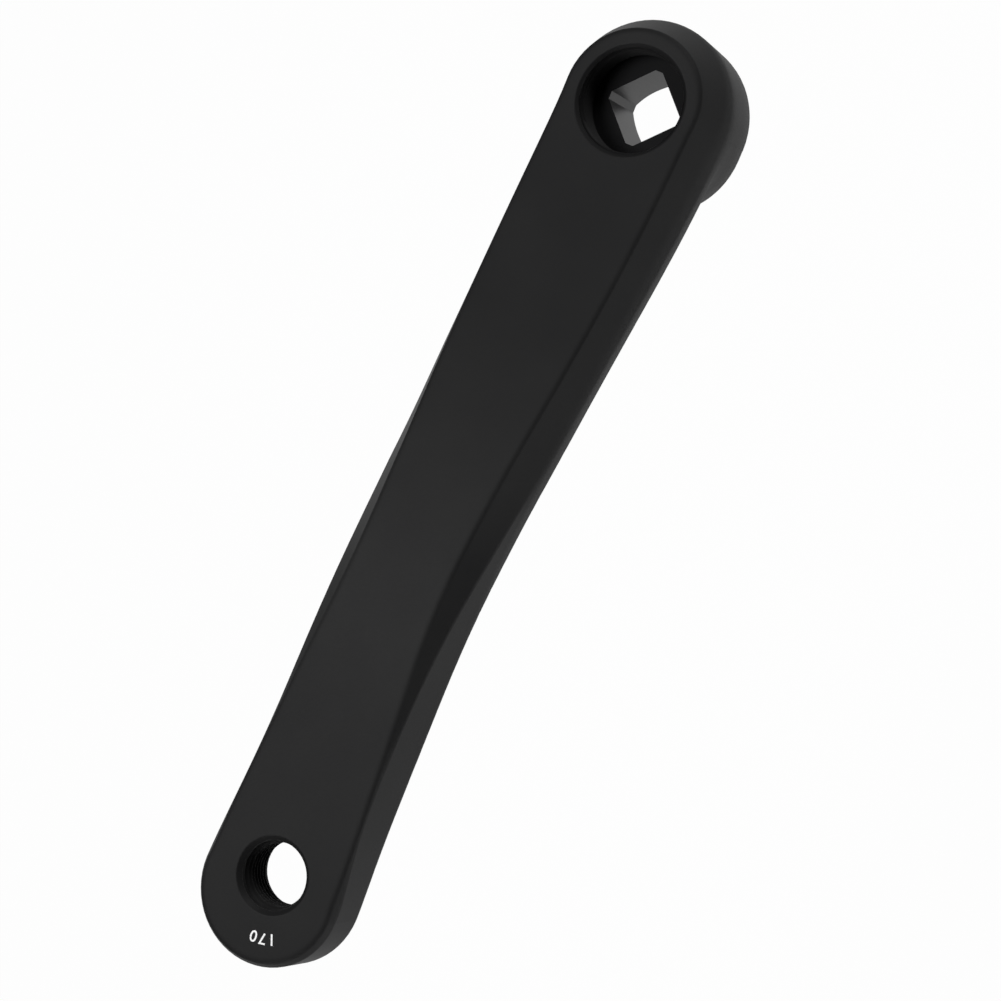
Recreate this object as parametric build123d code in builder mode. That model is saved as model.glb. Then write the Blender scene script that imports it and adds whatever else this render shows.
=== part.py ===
"""Left-hand bicycle crank arm for a square taper spindle, forged in one piece and machined.

Millimetres. Z is the spindle axis, with the boss's inner face on z = 0 and the outer face of the arm up.
The arm runs along +X to the pedal eye and is symmetric about y = 0.
"""

import os
from math import radians, tan

from build123d import *

# Axes and ends of the arm
crank_length = 170.0
eye_offset = 3.2
eye_radius = 15.6
eye_back_radius = 15.85

# Dish of the arm: height of the outer face at the spindle, its rise to the eye, and where the rise begins and ends
spindle_face_height = 27.0
dish = 20.5
dish_lead = 16.0
eye_level_run = 47.0
spindle_thickness = 15.0
pedal_thickness = 13.4

# Spindle boss, a tapered drum with a sloping shoulder up to the outer face
boss_radius = 18.4
boss_back_radius = 17.55
shoulder_drop = 9.4
shoulder_angle = 21.0
boss_back_round = 3.5

# Below the arm the boss runs on a little towards the eye, just inside the arm's sides
boss_reach = 2.0
boss_clearance = 0.03

# The arm's sections, each: share of the way from the spindle axis to the eye's centre, how far the side
# is drawn in from a straight taper, share of the shoulder's drop, angle of the side bevel, draft of the
# wall below it, rounding of the edge between them
sections = [
    (0.023, -0.04, 1.03, 21.0, 0.05, 1.0),
    (0.070, -0.13, 1.005, 21.6, 0, 1.0),
    (0.127, -0.08, 0.96, 21.8, -0.05, 1.0),
    (0.202, 0.20, 0.915, 21.8, -0.1, 1.0),
    (0.405, 1.29, 0.81, 26.0, 0.25, 1.0),
    (0.491, 1.94, 0.635, 32.0, 0.55, 1.0),
    (0.578, 2.47, 0.435, 41.0, 0.85, 1.0),
    (0.647, 2.82, 0.275, 48.5, 1.2, 0.8),
    (0.723, 2.93, 0.16, 50.5, 1.55, 0.6),
    (0.867, 2.24, 0.065, 30.0, 1.5, 0.5),
    (0.936, 1.06, 0.11, 32.0, 0.75, 0.7),
]

# Roundings
bevel_round = 1.0
eye_bevel_round = 1.0
eye_bevel_drop = 1.8
eye_bevel_angle = 30.0
back_round = 1.8
face_round = 0.4
boss_root_round = 2.5

# Square taper socket, with its corners along X and Y, below the recess
recess_depth = 8.15
square_side = 12.45
square_taper = 2.0
square_corner = 1.2
mouth_radius = 9.3
mouth_angle = 35.0

# Extractor recess, M22 x 1
extractor_radius = 11.0
extractor_chamfer = 0.7

# Pedal thread, 9/16 inch x 20 left hand
pedal_thread_radius = 7.144
pedal_chamfer = 0.9

# How far cutting shapes run past what they cut
overrun = 4.0

eye_centre = crank_length + eye_offset
dish_end = crank_length - eye_level_run
boss_edge_height = spindle_face_height - shoulder_drop
recess_floor = spindle_face_height - recess_depth


def rise(x):
    """Runs from 0 to 1 over the dish, level at both ends."""
    t = min(max((x + dish_lead) / (dish_end + dish_lead), 0.0), 1.0)
    return t * t * (3.0 - 2.0 * t)


def face_height(x):
    return spindle_face_height + dish * rise(x)


def back_height(x):
    return face_height(x) - spindle_thickness + (spindle_thickness - pedal_thickness) * rise(x)


def half_profile(x, edge_half, edge_drop, bevel_angle, back_half):
    """Corners of one side of the arm at x as (half width, height): above the face, bevel's edge, back."""
    top_half = edge_half - (edge_drop + overrun) * tan(radians(bevel_angle))
    return [
        (top_half, face_height(x) + overrun),
        (edge_half, face_height(x) - edge_drop),
        (back_half, back_height(x)),
    ]


def square_width(z):
    return square_side + 2.0 * (recess_floor - z) * tan(radians(square_taper))


def across(x):
    """Plane of a section of the arm, with Y across and Z up."""
    return Plane(origin=(x, 0, 0), x_dir=(0, 1, 0), z_dir=(1, 0, 0))


# The first section is the drum's own side and the last is the eye's
boss_taper = (boss_radius - boss_back_radius) / boss_edge_height
root_drop = face_height(0.0) - boss_edge_height
root_back_half = boss_back_radius + boss_taper * back_height(0.0)
root = half_profile(0.0, boss_radius, root_drop, shoulder_angle, root_back_half)
eye = half_profile(eye_centre, eye_radius, eye_bevel_drop, eye_bevel_angle, eye_back_radius)

stations = [(0.0, root, bevel_round)]
for share, waist, drop_share, bevel_angle, draft, edge_round in sections:
    edge_half = boss_radius + (eye_radius - boss_radius) * share - waist
    back_half = edge_half + (root_back_half - boss_radius) * (1.0 - share) + draft
    x = share * eye_centre
    stations.append((x, half_profile(x, edge_half, drop_share * root_drop, bevel_angle, back_half), edge_round))
stations.append((eye_centre, eye, eye_bevel_round))

with BuildPart() as crank_arm:
    # Arm from the spindle axis to the eye, left standing proud of the outer face
    for x, (top, edge, back), edge_round in stations:
        with BuildSketch(across(x)):
            with BuildLine():
                FilletPolyline(
                    top, (-top[0], top[1]), (-edge[0], edge[1]), (-back[0], back[1]), back, edge,
                    radius=[0, 0, edge_round, back_round, back_round, edge_round], close=True,
                )
            make_face()
    loft()

    # Round end of the eye
    with BuildSketch(across(eye_centre)):
        with BuildLine():
            FilletPolyline(
                (0, eye[0][1]), eye[0], eye[1], eye[2], (0, eye[2][1]),
                radius=[0, 0, eye_bevel_round, back_round, 0], close=True,
            )
        make_face()
    revolve(axis=Axis((eye_centre, 0, 0), (0, 0, -1)), revolution_arc=180)

    # Round end of the spindle boss, then the rest of it, which shows below the arm
    with BuildSketch(across(0.0)):
        with BuildLine():
            FilletPolyline(
                (0, root[0][1]), root[0], root[1], (boss_back_radius, 0), (0, 0),
                radius=[0, 0, bevel_round, boss_back_round, 0], close=True,
            )
        make_face()
    revolve(axis=Axis.Z, revolution_arc=180)
    first_x, (_, first_edge, _), _ = stations[1]
    side_fall = max(boss_radius - first_edge[0], 0.0) * boss_reach / first_x
    under_top = boss_edge_height - bevel_round / 2.0
    under_radius = boss_back_radius - side_fall - boss_clearance
    under_half = under_radius + boss_taper * under_top
    with BuildSketch(across(0.0)):
        with BuildLine():
            FilletPolyline(
                (under_half, under_top), (-under_half, under_top), (-under_radius, 0), (under_radius, 0),
                radius=[0, 0, boss_back_round, boss_back_round], close=True,
            )
        make_face()
    extrude(amount=boss_reach)
    with BuildSketch(across(boss_reach)):
        with BuildLine():
            FilletPolyline(
                (0, under_top), (under_half, under_top), (under_radius, 0), (0, 0),
                radius=[0, 0, boss_back_round, 0], close=True,
            )
        make_face()
    revolve(axis=Axis((boss_reach, 0, 0), (0, 0, -1)), revolution_arc=180)

    # Outer face, level at both ends with the dish between
    third = (dish_end + dish_lead) / 3.0
    low, high = (-dish_lead, spindle_face_height), (dish_end, spindle_face_height + dish)
    above = high[1] + 2.0 * overrun
    reach = boss_radius + overrun
    with BuildSketch(Plane.XZ.offset(-reach)):
        with BuildLine():
            Bezier(low, (low[0] + third, low[1]), (high[0] - third, high[1]), high)
            Polyline(
                high, (eye_centre + reach, high[1]), (eye_centre + reach, above),
                (-reach, above), (-reach, low[1]), low,
            )
        make_face()
    extrude(amount=2.0 * reach, mode=Mode.SUBTRACT)
    outer = crank_arm.faces().filter_by(lambda f: f.normal_at().Z > 0.8)
    rim = [e for e in crank_arm.edges() if sum(any(e.is_same(k) for k in f.edges()) for f in outer) == 1]
    fillet(rim, radius=face_round)

    # Root of the boss, where it meets the back of the arm
    roots = [
        e for e in crank_arm.edges()
        if e.bounding_box().size.X > face_round
        and e.bounding_box().min.X > -boss_clearance and e.bounding_box().max.X < boss_radius + boss_reach
        and e.bounding_box().min.Z > back_height(0.0) and e.bounding_box().max.Z < boss_edge_height
    ]
    fillet(roots, radius=boss_root_round)

    # Extractor recess
    with BuildSketch(Plane.XY.offset(recess_floor)):
        Circle(extractor_radius)
    extrude(amount=above - recess_floor, mode=Mode.SUBTRACT)
    recess_wall = crank_arm.faces().filter_by(GeomType.CYLINDER).sort_by(SortBy.AREA)[-1]
    chamfer(recess_wall.edges().sort_by(Axis.Z)[-1], length=extractor_chamfer)

    # Square taper socket and the round countersink at its mouth
    with BuildSketch(Plane.XZ):
        with BuildLine():
            Polyline((0, 0), (mouth_radius, 0), (0, mouth_radius / tan(radians(mouth_angle))), close=True)
        make_face()
    revolve(axis=Axis.Z, mode=Mode.SUBTRACT)
    for z in (0.0, recess_floor + overrun):
        with BuildSketch(Plane.XY.offset(z)) as square:
            Rectangle(square_width(z), square_width(z), rotation=45)
            chamfer(square.vertices(), length=square_corner)
    loft(ruled=True, mode=Mode.SUBTRACT)

    # Pedal hole, with both mouths chamfered
    inner_end, outer_end = back_height(crank_length), face_height(crank_length)
    wide = crank_length + pedal_thread_radius + pedal_chamfer + overrun
    with BuildSketch(Plane.XZ):
        with BuildLine():
            Polyline(
                (crank_length, inner_end - overrun), (wide, inner_end - overrun),
                (crank_length + pedal_thread_radius, inner_end + pedal_chamfer),
                (crank_length + pedal_thread_radius, outer_end - pedal_chamfer),
                (wide, outer_end + overrun), (crank_length, outer_end + overrun), close=True,
            )
        make_face()
    revolve(axis=Axis((crank_length, 0, 0), (0, 0, 1)), mode=Mode.SUBTRACT)

crank_arm.part.label = "crank_arm"
os.makedirs("parts", exist_ok=True)
export_step(crank_arm.part, "parts/crank_arm.step")
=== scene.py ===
"""Looks for the left-hand crank arm: its satin black coat, broached socket, threads and size mark.

Sizes are in millimetres until they reach Blender, which gets metres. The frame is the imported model's:
Z is the spindle axis, outwards, with the boss's inner face on z = 0, and X runs along the arm to the
pedal axis.
"""

from math import hypot, pi, radians

import bmesh
import bpy
from mathutils import Matrix, Vector


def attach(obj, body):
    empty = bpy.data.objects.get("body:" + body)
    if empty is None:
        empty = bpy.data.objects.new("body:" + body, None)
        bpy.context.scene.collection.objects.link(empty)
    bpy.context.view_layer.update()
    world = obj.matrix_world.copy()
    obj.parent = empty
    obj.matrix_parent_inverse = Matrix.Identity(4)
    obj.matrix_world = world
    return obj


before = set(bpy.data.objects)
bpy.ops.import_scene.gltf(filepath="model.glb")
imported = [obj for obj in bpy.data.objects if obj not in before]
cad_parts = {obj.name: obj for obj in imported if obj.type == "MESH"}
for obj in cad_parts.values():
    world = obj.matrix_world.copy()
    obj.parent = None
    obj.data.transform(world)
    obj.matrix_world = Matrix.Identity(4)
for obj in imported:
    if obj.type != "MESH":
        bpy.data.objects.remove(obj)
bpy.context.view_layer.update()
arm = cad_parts["crank_arm"]

MM = 0.001

# Sizes that the looks share with the solid. The outer face is dished: its height at the spindle, its
# rise to the eye, and where along the arm the rise starts and ends
CRANK_LENGTH = 170.0
FACE_HEIGHT, DISH = 27.0, 20.5
DISH_START, DISH_END = -16.0, 123.0
EYE_FACE = FACE_HEIGHT + DISH
EYE_BACK = 34.1
PEDAL_RADIUS = 7.144
PEDAL_CHAMFER = 0.9
RECESS_RADIUS = 11.0
RECESS_FLOOR = 18.85

# How far the socket and its countersink reach from the spindle axis
SOCKET_REACH = 9.45

# The recess has a sloping lip, given by its height on the spindle axis and its rise towards the eye
LIP_HEIGHT = 27.35
LIP_SLOPE = 0.086

# Threads: pitch and height of their ridges, how fast a ridge rises from a mouth, per millimetre of depth,
# how far it is sunk in the wall that carries it, and the gap at its root and its flat crest, as shares of
# the pitch
EXTRACTOR_PITCH, EXTRACTOR_RIDGE = 1.0, 0.54
PEDAL_PITCH, PEDAL_RIDGE = 1.27, 0.68
LEAD_IN = 0.3
SUNK = 0.05
ROOT_GAP, CREST_FLAT = 0.06, 0.06
STEPS_PER_TURN = 72

# Size mark: digits on an arc round the pedal hole, with their tops outwards. The middle one is turned a
# little from the arm's tip, and the others stand a step to each side, both in degrees
MARK = "170"
MARK_RADIUS = 11.65
MARK_FONT_SIZE = 3.3
MARK_TURN = 14.5
MARK_STEP = 9.2
MARK_BOLD = 0.03
MARK_THICKNESS = 0.04
MARK_PROUD = 0.01
MARK_CURVE_STEPS = 6

# Meshes: how near points are merged, and the angle in degrees past which an edge is shaded sharp
MERGE = 0.0005
SHARP_ANGLE = 35.0

# Tumbled edges: rounding of most edges, of the outer face's rim and how deep that fades out, and of the
# boss's shoulder, then the line that the soft shoulder lies below, as a height on the spindle axis and a
# rise towards the eye, how deep it fades in, where it runs out, and how wide a crisp lip each hole keeps
EDGE_ROUND = 0.4
RIM_ROUND, RIM_FADE = 1.8, 1.4
SHOULDER_ROUND = 10.0
SHOULDER_HEIGHT, SHOULDER_RISE, SHOULDER_FADE = 23.0, 0.171, 4.0
SHOULDER_END, SHOULDER_RUN_OUT = 125.0, 60.0
LIP_WIDTH = 2.0
ROUND_SAMPLES = 8

# Black coat: its colours, also on the socket's faces, a darker black on the recess's floor that is painted
# shade, and the roughness of each
COAT_DARK, COAT_LIGHT = "#121213", "#1D1D1D"
# Painted shade: the darker black that the recess's floor gets
RECESS_SHADE_BLACK = "#0E0E0F"
SOCKET_DARK, SOCKET_LIGHT = "#1C1C1D", "#2E2F30"
COAT_ROUGHNESS = (0.51, 0.61)
SEAT_ROUGHNESS = 0.75
SOCKET_ROUGHNESS = 0.4
COAT_SPECULAR = 0.12

# Patterns of the coat: blast grain, slow change of tone, broach streaks, and the height and strength of
# their relief
GRAIN_SIZE = 0.35
TONE_SIZE = 18.0
STREAK_WIDTH, STREAK_LENGTH = 0.25, 12.5
RELIEF_HEIGHT, RELIEF_STRENGTH = 0.06, 0.15

# How near a point has to be to count as on a face
SLACK = 0.05

# White ink of the size mark
INK_WHITE, INK_THIN = "#FFFFFF", "#DADADA"
INK_PATCH = 0.3
INK_ROUGHNESS = (0.5, 0.7)

# Camera of the photograph: where it stands, what it looks at, its upright and its lens
CAMERA_PLACE = (27.5, 212.7, 573.0)
CAMERA_AIM = (84.1, 7.9, 30.0)
CAMERA_UP = (-0.92, -0.3886, 0.0507)
CAMERA_NEAREST = 10.0
SENSOR_WIDTH = 36.0
LENS = 103.9

# The arm hangs on its spindle, so the floor lies clear below it. All but a small share of the floor is
# plain white to the camera and in reflections, and that share keeps the shadow
FLOOR_HEIGHT = -300.0
FLOOR_SIZE = 20000.0
FLOOR_PAPER = "#F4F4F4"
FLOOR_WHITE = 0.96

# Studio lamps, each: where it stands, its width, its height and its power in watts. All face the middle
# of the arm
LAMPS = {
    "key": ((115, -243, 650), 330.0, 330.0, 3.7),
    "fill": ((550, 980, -80), 800.0, 300.0, 4.3),
    "rim": ((-700, 60, 480), 250.0, 250.0, 3.0),
    "end": ((900, 100, 450), 400.0, 400.0, 2.0),
}
LAMP_AIM = (CRANK_LENGTH / 2.0, 0.0, EYE_BACK)
WHITE = "#FFFFFF"
SKY_STRENGTH = 0.05


def link(obj):
    bpy.context.scene.collection.objects.link(obj)
    return obj


def hex_colour(code):
    """An sRGB hex colour as linear red, green, blue and alpha."""
    channels = [int(code[i:i + 2], 16) / 255.0 for i in (1, 3, 5)]
    return [c / 12.92 if c <= 0.04045 else ((c + 0.055) / 1.055) ** 2.4 for c in channels] + [1.0]


def add(tree, kind, inputs=None, **settings):
    """Adds a node with its settings, and gives each input a value, or a link from a socket or a node."""
    node = tree.nodes.new(kind)
    for name, value in settings.items():
        setattr(node, name, value)
    for name, value in (inputs or {}).items():
        if isinstance(value, bpy.types.Node):
            value = next(socket for socket in value.outputs if socket.enabled)
        if isinstance(value, bpy.types.NodeSocket):
            tree.links.new(value, node.inputs[name])
        else:
            node.inputs[name].default_value = value
    return node


def new_material(name):
    material = bpy.data.materials.new(name)
    material.use_nodes = True
    material.node_tree.nodes.clear()
    return material, material.node_tree


def per_mm(size):
    """Scale of a pattern on Object coordinates, which are metres, for features of a size in millimetres."""
    return 1.0 / (size * MM)


def tumbled_edges(tree, split, spindle_reach, pedal_reach):
    """Light on edges that tumbling has rounded, most of all on the boss's shoulder and the edge beyond it.

    The mesh keeps the solid's own roundings. Round the holes the edges stay crisp, and in them the threads
    stay as they are.
    """
    line = add(tree, "ShaderNodeMath", {
        0: split["X"], 1: SHOULDER_RISE, 2: SHOULDER_HEIGHT * MM,
    }, operation="MULTIPLY_ADD")
    below = add(tree, "ShaderNodeMath", {0: line, 1: split["Z"]}, operation="SUBTRACT")
    low = add(tree, "ShaderNodeMapRange", {
        "Value": below, "From Max": SHOULDER_FADE * MM,
    }, interpolation_type="SMOOTHSTEP")
    near = add(tree, "ShaderNodeMapRange", {
        "Value": split["X"],
        "From Min": SHOULDER_END * MM, "From Max": (SHOULDER_END - SHOULDER_RUN_OUT) * MM,
    }, interpolation_type="SMOOTHSTEP")
    worn = add(tree, "ShaderNodeMath", {0: low, 1: near}, operation="MULTIPLY")

    face = add(tree, "ShaderNodeMapRange", {
        "Value": split["X"], "From Min": DISH_START * MM, "From Max": DISH_END * MM,
        "To Min": FACE_HEIGHT * MM, "To Max": EYE_FACE * MM,
    }, interpolation_type="SMOOTHSTEP")
    depth = add(tree, "ShaderNodeMath", {0: face, 1: split["Z"]}, operation="SUBTRACT")
    rim = add(tree, "ShaderNodeMapRange", {
        "Value": depth, "From Max": RIM_FADE * MM, "To Min": RIM_ROUND * MM, "To Max": EDGE_ROUND * MM,
    })
    soft = add(tree, "ShaderNodeMix", {"Factor": worn, "A": rim, "B": SHOULDER_ROUND * MM})

    off_recess = add(tree, "ShaderNodeMath", {0: spindle_reach, 1: RECESS_RADIUS * MM}, operation="SUBTRACT")
    off_pedal = add(tree, "ShaderNodeMath", {0: pedal_reach, 1: PEDAL_RADIUS * MM}, operation="SUBTRACT")
    from_hole = add(tree, "ShaderNodeMath", {0: off_recess, 1: off_pedal}, operation="MINIMUM")
    outside = add(tree, "ShaderNodeMath", {0: from_hole, 1: SLACK * MM}, operation="GREATER_THAN")
    crisp = add(tree, "ShaderNodeMath", {0: outside, 1: EDGE_ROUND * MM}, operation="MULTIPLY")
    clear = add(tree, "ShaderNodeMath", {0: from_hole, 1: LIP_WIDTH * MM}, operation="GREATER_THAN")
    radius = add(tree, "ShaderNodeMix", {"Factor": clear, "A": crisp, "B": soft})
    return add(tree, "ShaderNodeBevel", {"Radius": radius}, samples=ROUND_SAMPLES)


def satin_coat():
    """Black coat on blasted and tumbled forged aluminium, with broached faces inside the square socket.

    The coat gives a deep, even black with a broad soft sheen and a grain that is only just seen. It is
    duller on the recess's floor, and darker there as painted shade. The broached faces are smoother and a
    little greyer, and drawn out in fine streaks along the spindle, so they catch the light at the far end of
    the socket.
    """
    material, tree = new_material("satin_black_coat_on_aluminium")
    place = add(tree, "ShaderNodeTexCoord").outputs["Object"]
    split = add(tree, "ShaderNodeSeparateXYZ", {"Vector": place}).outputs

    # The grain is drawn coarser than it is, because real blast grit is too fine to show
    grain = add(tree, "ShaderNodeTexNoise", {"Vector": place, "Scale": per_mm(GRAIN_SIZE), "Detail": 2.0})
    tone = add(tree, "ShaderNodeTexNoise", {"Vector": place, "Scale": per_mm(TONE_SIZE), "Detail": 2.0})
    drawn = add(tree, "ShaderNodeMapping", {
        "Vector": place, "Scale": (1.0, 1.0, STREAK_WIDTH / STREAK_LENGTH),
    })
    streak = add(tree, "ShaderNodeTexNoise", {"Vector": drawn, "Scale": per_mm(STREAK_WIDTH), "Detail": 2.0})

    # How far a point lies from each axis
    flat = add(tree, "ShaderNodeVectorMath", {0: place, 1: (1.0, 1.0, 0.0)}, operation="MULTIPLY")
    spindle_reach = add(tree, "ShaderNodeVectorMath", {0: flat}, operation="LENGTH")
    pedal_axis = (CRANK_LENGTH * MM, 0.0, 0.0)
    pedal_reach = add(tree, "ShaderNodeVectorMath", {0: flat, 1: pedal_axis}, operation="DISTANCE")

    # The socket's faces, below the recess, and the recess's floor, where the bolt seats, which is duller and
    # takes painted shade
    half = RECESS_FLOOR / 2.0
    inside = add(tree, "ShaderNodeMath", {0: spindle_reach, 1: SOCKET_REACH * MM}, operation="LESS_THAN")
    deep = add(tree, "ShaderNodeMath", {
        0: split["Z"], 1: half * MM, 2: (half - SLACK) * MM,
    }, operation="COMPARE")
    broached = add(tree, "ShaderNodeMath", {0: inside, 1: deep}, operation="MULTIPLY")
    within = add(tree, "ShaderNodeMath", {
        0: spindle_reach, 1: (RECESS_RADIUS + SLACK) * MM,
    }, operation="LESS_THAN")
    level = add(tree, "ShaderNodeMath", {
        0: split["Z"], 1: RECESS_FLOOR * MM, 2: SLACK * MM,
    }, operation="COMPARE")
    floor_dull_and_shade = add(tree, "ShaderNodeMath", {0: within, 1: level}, operation="MULTIPLY")

    black = add(tree, "ShaderNodeMix", {
        "Factor": tone, "A": hex_colour(COAT_DARK), "B": hex_colour(COAT_LIGHT),
    }, data_type="RGBA")
    # Painted shade: the recess's floor gets a darker black than the rest of the coat
    coated = add(tree, "ShaderNodeMix", {
        "Factor": floor_dull_and_shade, "A": black, "B": hex_colour(RECESS_SHADE_BLACK),
    }, data_type="RGBA")
    streaked = add(tree, "ShaderNodeMix", {
        "Factor": streak, "A": hex_colour(SOCKET_DARK), "B": hex_colour(SOCKET_LIGHT),
    }, data_type="RGBA")
    colour = add(tree, "ShaderNodeMix", {"Factor": broached, "A": coated, "B": streaked}, data_type="RGBA")

    satin = add(tree, "ShaderNodeMapRange", {
        "Value": grain, "To Min": COAT_ROUGHNESS[0], "To Max": COAT_ROUGHNESS[1],
    })
    dulled = add(tree, "ShaderNodeMix", {"Factor": floor_dull_and_shade, "A": satin, "B": SEAT_ROUGHNESS})
    roughness = add(tree, "ShaderNodeMix", {"Factor": broached, "A": dulled, "B": SOCKET_ROUGHNESS})

    relief = add(tree, "ShaderNodeMix", {"Factor": broached, "A": grain, "B": streak})
    bump = add(tree, "ShaderNodeBump", {
        "Height": relief, "Strength": RELIEF_STRENGTH, "Distance": RELIEF_HEIGHT * MM,
        "Normal": tumbled_edges(tree, split, spindle_reach, pedal_reach),
    })
    shader = add(tree, "ShaderNodeBsdfPrincipled", {
        "Base Color": colour, "Roughness": roughness, "Normal": bump, "Specular IOR Level": COAT_SPECULAR,
    })
    add(tree, "ShaderNodeOutputMaterial", {"Surface": shader})
    return material


def white_print():
    """Pad-printed white ink: chalky, a little thinner in places so that some of the black shows through."""
    material, tree = new_material("white_pad_print_ink")
    place = add(tree, "ShaderNodeTexCoord").outputs["Object"]
    thin = add(tree, "ShaderNodeTexNoise", {"Vector": place, "Scale": per_mm(INK_PATCH), "Detail": 1.0})
    colour = add(tree, "ShaderNodeMix", {
        "Factor": thin, "A": hex_colour(INK_WHITE), "B": hex_colour(INK_THIN),
    }, data_type="RGBA")
    roughness = add(tree, "ShaderNodeMapRange", {
        "Value": thin, "To Min": INK_ROUGHNESS[0], "To Max": INK_ROUGHNESS[1],
    })
    shader = add(tree, "ShaderNodeBsdfPrincipled", {"Base Color": colour, "Roughness": roughness})
    add(tree, "ShaderNodeOutputMaterial", {"Surface": shader})
    return material


def piece(name, bm, material):
    """Turns a bmesh in millimetres into a piece that rides on the arm."""
    bmesh.ops.remove_doubles(bm, verts=bm.verts, dist=MERGE)
    bmesh.ops.recalc_face_normals(bm, faces=bm.faces)
    bm.transform(Matrix.Scale(MM, 4))
    mesh = bpy.data.meshes.new(name)
    bm.to_mesh(mesh)
    bm.free()
    mesh.shade_smooth()
    mesh.set_sharp_from_angle(angle=radians(SHARP_ANGLE))
    mesh.materials.append(material)
    made = link(bpy.data.objects.new(name, mesh))
    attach(made, "root")


def thread(name, material, axis_x, radius, ridge, pitch, low, high, slope, left_hand):
    """Ridge of an inside thread, wound up the wall of a hole and run out at its chamfered mouths."""
    root, crest = radius + SUNK, radius - ridge
    profile = (
        (root, ROOT_GAP / 2.0), (root, 1.0 - ROOT_GAP / 2.0),
        (crest, (1.0 + CREST_FLAT) / 2.0), (crest, (1.0 - CREST_FLAT) / 2.0),
    )
    bm = bmesh.new()
    end = bm.faces.new([bm.verts.new((reach, 0.0, low + share * pitch)) for reach, share in profile])
    turns = int((high - low) / pitch) + 1
    bmesh.ops.spin(
        bm, geom=[*end.verts, *end.edges, end], axis=(0, 0, 1), dvec=(0, 0, pitch / STEPS_PER_TURN),
        angle=(-2.0 if left_hand else 2.0) * pi * turns, steps=STEPS_PER_TURN * turns,
    )
    cut = bmesh.ops.bisect_plane(
        bm, geom=[*bm.verts, *bm.edges, *bm.faces],
        plane_co=(0, 0, high), plane_no=(-slope, 0, 1), clear_outer=True,
    )
    bmesh.ops.edgenet_fill(bm, edges=[e for e in cut["geom_cut"] if isinstance(e, bmesh.types.BMEdge)])

    # A tapered lead-in trims the ridge, so it fades out at both ends
    for vert in bm.verts:
        reach = hypot(vert.co.x, vert.co.y)
        to_mouth = min(high + slope * vert.co.x - vert.co.z, vert.co.z - low)
        trimmed = max(reach, radius - LEAD_IN * max(to_mouth, 0.0))
        vert.co.x *= trimmed / reach
        vert.co.y *= trimmed / reach
    bmesh.ops.translate(bm, verts=bm.verts, vec=(axis_x, 0, 0))
    piece(name, bm, material)


def size_mark(material):
    """Digits of the crank length, each turned to stand on the arc."""
    bm = bmesh.new()
    on_face = Matrix.Translation((CRANK_LENGTH, 0, EYE_FACE + MARK_PROUD - MARK_THICKNESS / 2.0))
    to_arc = Matrix.Translation((0, MARK_RADIUS, 0))
    for i, digit in enumerate(MARK):
        words = bpy.data.curves.new("digit", "FONT")
        words.body = digit
        words.align_x = "CENTER"
        words.size = MARK_FONT_SIZE
        words.offset = MARK_BOLD
        words.extrude = MARK_THICKNESS / 2.0
        words.resolution_u = MARK_CURVE_STEPS
        text = link(bpy.data.objects.new("digit", words))
        mesh = bpy.data.meshes.new_from_object(text)

        # A digit is drawn upright along Y, so a quarter turn points its top at the tip of the arm
        turn = MARK_TURN + ((len(MARK) - 1) / 2.0 - i) * MARK_STEP
        mesh.transform(on_face @ Matrix.Rotation(radians(turn - 90.0), 4, "Z") @ to_arc)
        bm.from_mesh(mesh)
        bpy.data.objects.remove(text)
        bpy.data.curves.remove(words)
        bpy.data.meshes.remove(mesh)
    piece("size_mark", bm, material)


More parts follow.
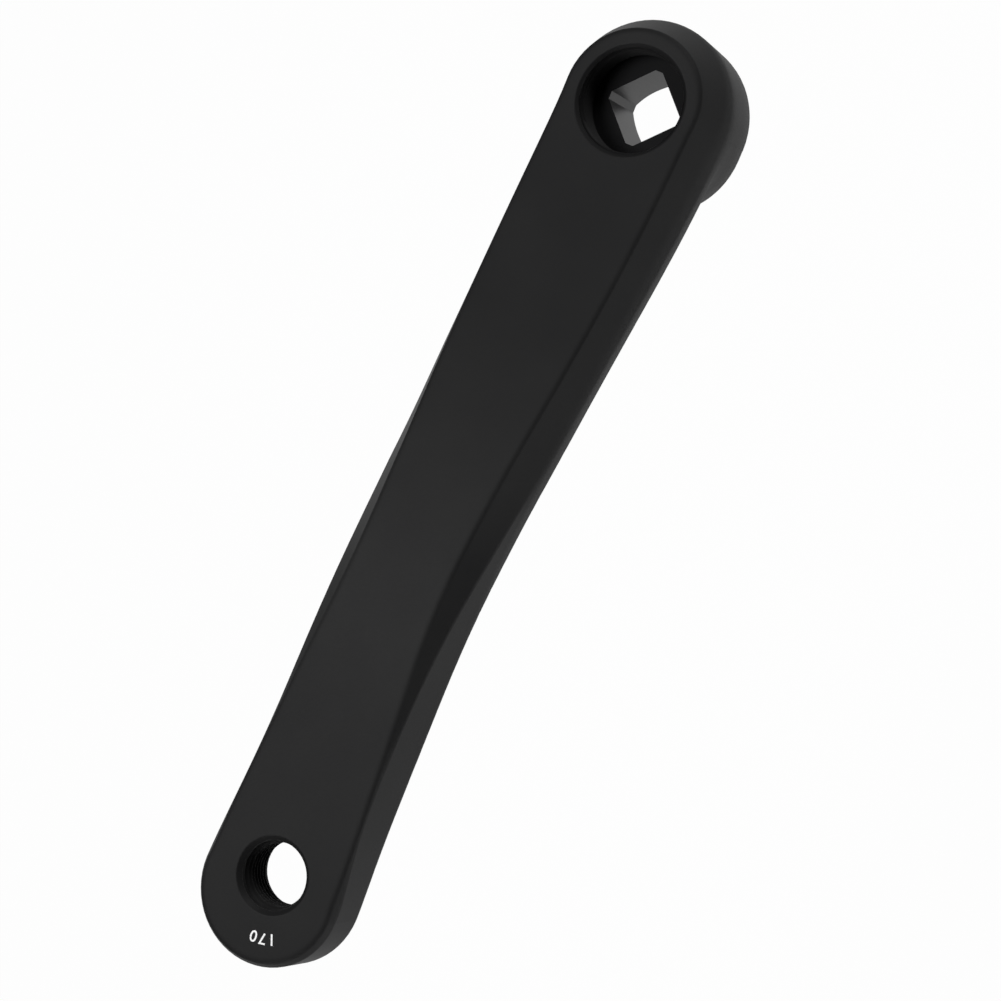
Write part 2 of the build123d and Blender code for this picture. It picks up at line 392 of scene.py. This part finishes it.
def lay_floor():
    """White paper under the arm, plain white to the camera and in reflections, that still takes a shadow."""
    bm = bmesh.new()
    bmesh.ops.create_grid(bm, x_segments=1, y_segments=1, size=FLOOR_SIZE / 2.0)
    bmesh.ops.translate(bm, verts=bm.verts, vec=(0, 0, FLOOR_HEIGHT))
    bm.transform(Matrix.Scale(MM, 4))
    mesh = bpy.data.meshes.new("floor")
    bm.to_mesh(mesh)
    bm.free()

    material, tree = new_material("white_paper_floor")
    path = add(tree, "ShaderNodeLightPath").outputs
    seen = add(tree, "ShaderNodeMath", {
        0: path["Is Camera Ray"], 1: path["Is Glossy Ray"],
    }, operation="MAXIMUM")
    seen = add(tree, "ShaderNodeMath", {0: seen, 1: path["Is Transmission Ray"]}, operation="MAXIMUM")
    share = add(tree, "ShaderNodeMath", {0: seen, 1: FLOOR_WHITE}, operation="MULTIPLY")
    paper = add(tree, "ShaderNodeBsdfDiffuse", {"Color": hex_colour(FLOOR_PAPER)})
    plain = add(tree, "ShaderNodeEmission", {"Color": hex_colour(WHITE), "Strength": 1.0})
    mixed = add(tree, "ShaderNodeMixShader", {0: share, 1: paper, 2: plain})
    add(tree, "ShaderNodeOutputMaterial", {"Surface": mixed})
    mesh.materials.append(material)
    link(bpy.data.objects.new("floor", mesh))


def light_studio():
    """Soft boxes round the arm, and a faint even sky."""
    for name, (place, width, height, power) in LAMPS.items():
        data = bpy.data.lights.new(name, "AREA")
        data.shape = "RECTANGLE"
        data.size = width * MM
        data.size_y = height * MM
        data.energy = power
        lamp = link(bpy.data.objects.new(name, data))
        lamp.location = Vector(place) * MM
        lamp.rotation_euler = (Vector(LAMP_AIM) - Vector(place)).to_track_quat("-Z", "Y").to_euler()

    world = bpy.data.worlds.new("studio")
    bpy.context.scene.world = world
    world.use_nodes = True
    sky = world.node_tree.nodes["Background"].inputs
    sky["Color"].default_value = hex_colour(WHITE)
    sky["Strength"].default_value = SKY_STRENGTH


def set_camera():
    """The photograph's camera, held by where it stands, what it looks at and its upright."""
    data = bpy.data.cameras.new("camera")
    data.sensor_width = SENSOR_WIDTH
    data.lens = LENS
    data.clip_start = CAMERA_NEAREST * MM
    camera = link(bpy.data.objects.new("camera", data))
    place, aim = Vector(CAMERA_PLACE) * MM, Vector(CAMERA_AIM) * MM
    back = (place - aim).normalized()
    right = Vector(CAMERA_UP).cross(back).normalized()
    turned = Matrix((right, back.cross(right), back)).transposed().to_4x4()
    camera.matrix_world = Matrix.Translation(place) @ turned
    bpy.context.scene.camera = camera


coat = satin_coat()
arm.data.materials[0] = coat
thread(
    "extractor_thread", coat, axis_x=0.0, radius=RECESS_RADIUS, ridge=EXTRACTOR_RIDGE, pitch=EXTRACTOR_PITCH,
    low=RECESS_FLOOR, high=LIP_HEIGHT, slope=LIP_SLOPE, left_hand=False,
)
thread(
    "pedal_thread", coat, axis_x=CRANK_LENGTH, radius=PEDAL_RADIUS, ridge=PEDAL_RIDGE, pitch=PEDAL_PITCH,
    low=EYE_BACK + PEDAL_CHAMFER, high=EYE_FACE - PEDAL_CHAMFER, slope=0.0, left_hand=True,
)
size_mark(white_print())
lay_floor()
light_studio()
set_camera()
bpy.context.scene.view_settings.view_transform = "Standard"
